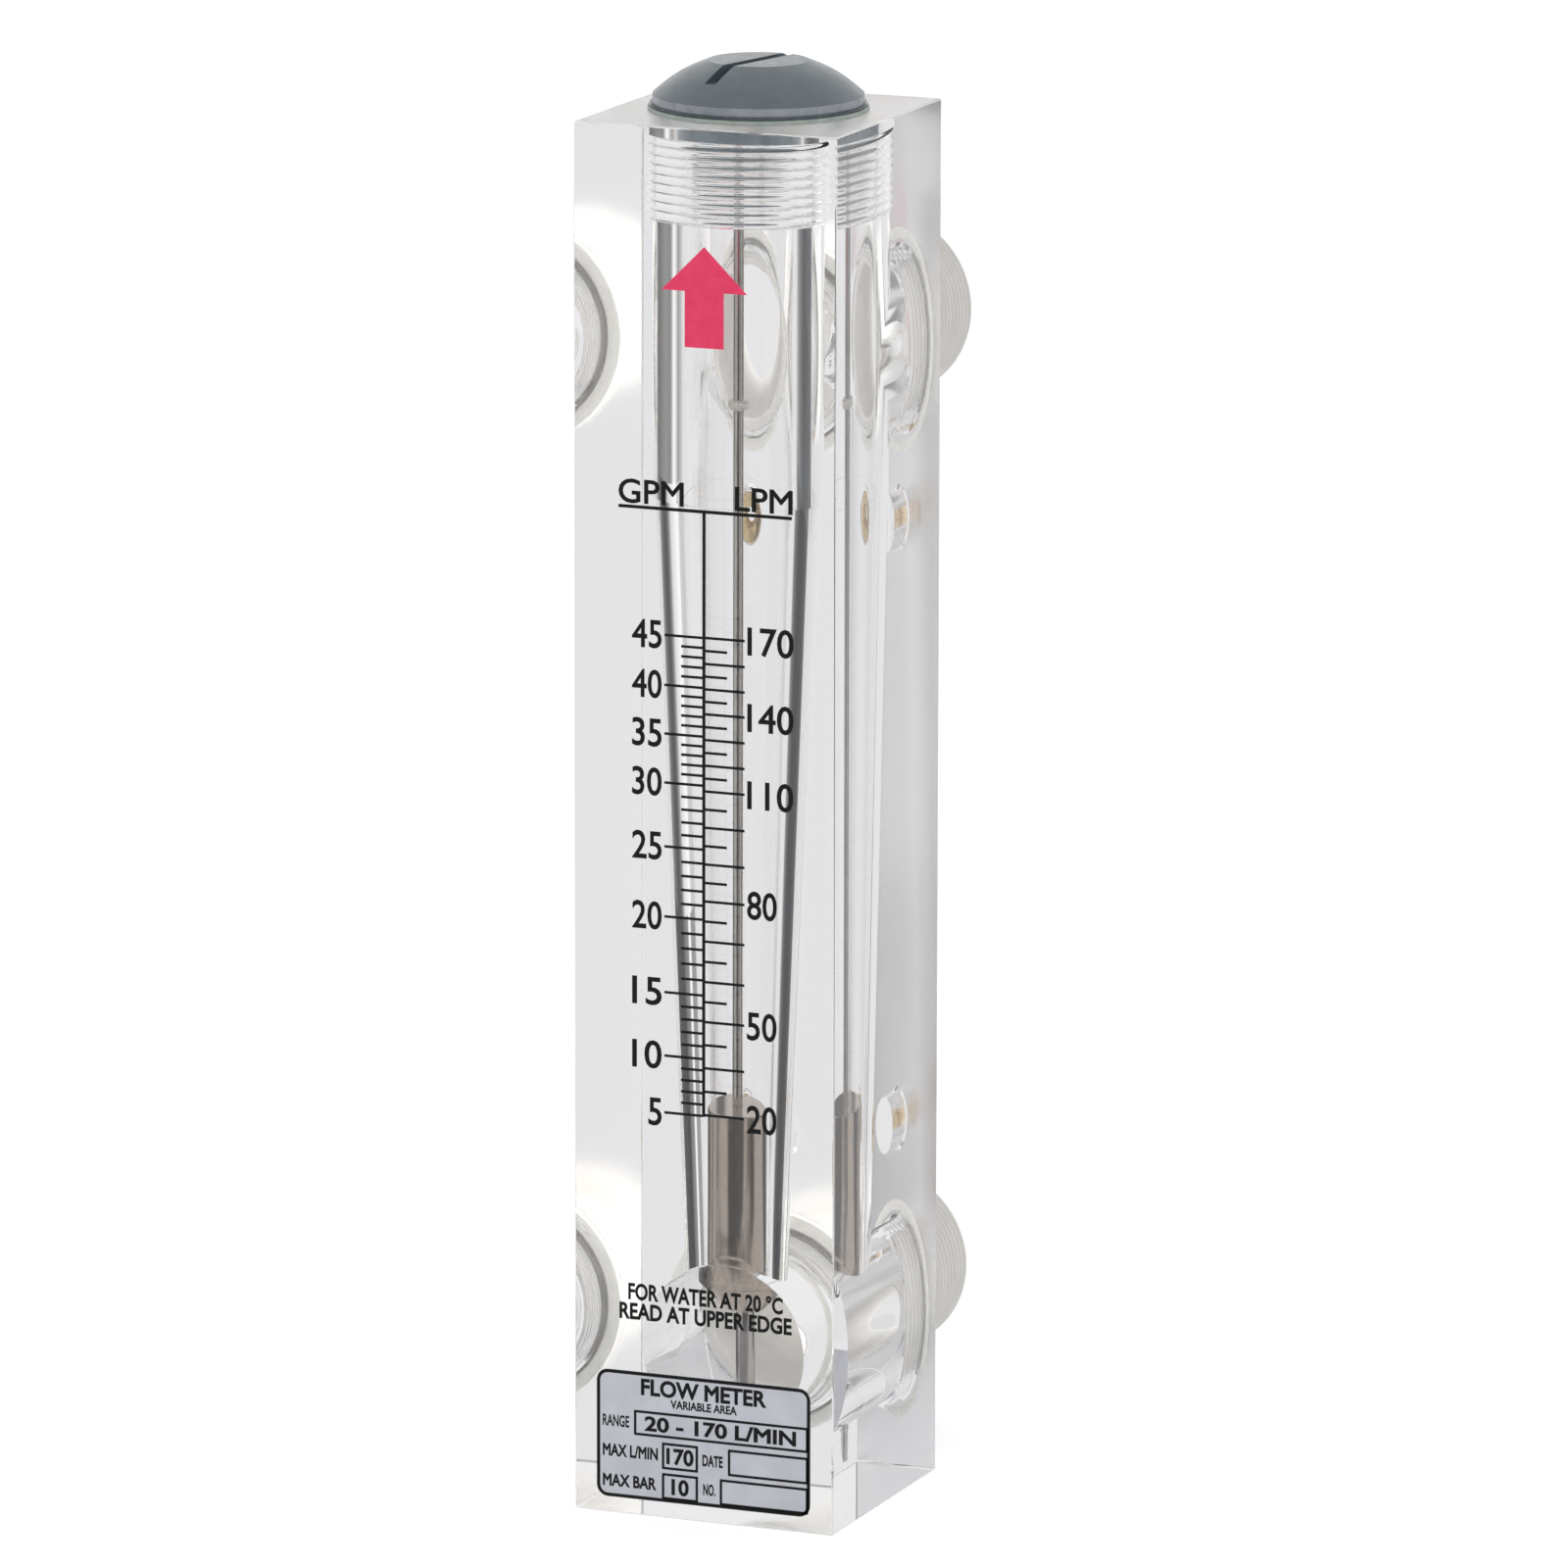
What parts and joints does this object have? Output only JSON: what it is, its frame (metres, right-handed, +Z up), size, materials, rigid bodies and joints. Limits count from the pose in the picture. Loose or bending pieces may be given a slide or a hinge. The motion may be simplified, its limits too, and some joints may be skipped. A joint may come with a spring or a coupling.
{
  "type": "rotameter",
  "caption": "Clear acrylic block rotameter: steel float on a guide rod in a tapered vertical bore, slotted top plug and threaded pipe ports at the back.",
  "frame": {"origin": "centre of the block's base, on the axis of the metering bore", "axes": "+Z up the metering bore, +Y from the scale face to the ports at the back, +X to the right of the scale"},
  "size_m": [0.07, 0.1217, 0.3655],
  "materials": {
    "clear_acrylic": "cast acrylic, polished outside, machined and vapour polished bores",
    "grey_pvc": "turned rigid PVC, dark grey",
    "sealing_rubber": "flat rubber gasket",
    "ground_stainless": "centreless ground stainless steel",
    "turned_stainless": "turned stainless steel with fine tool marks",
    "clear_silicone": "translucent silicone",
    "pale_plastic": "moulded natural plastic, slightly translucent",
    "machined_brass": "machined brass",
    "aluminium_foil": "silver foil label with black print"
  },
  "bodies": {
    "housing": {"body_block": "clear_acrylic", "top_plug": "grey_pvc", "plug_gasket": "sealing_rubber", "guide_rod": "ground_stainless", "lower_stop_sleeve": "ground_stainless", "upper_stop_ring": "clear_silicone", "upper_port_fitting": "pale_plastic", "lower_port_fitting": "pale_plastic", "upper_port_washer": "clear_silicone", "lower_port_washer": "clear_silicone", "upper_insert": "machined_brass", "lower_insert": "machined_brass", "rating_label": "aluminium_foil"},
    "float_body": {"float": "turned_stainless"}
  },
  "joints": [
    {"name": "float_slide", "type": "slide", "parent": "housing", "child": "float_body", "axis": [0, 0, 1], "range_m": [0, 0.1772]}
  ]
}
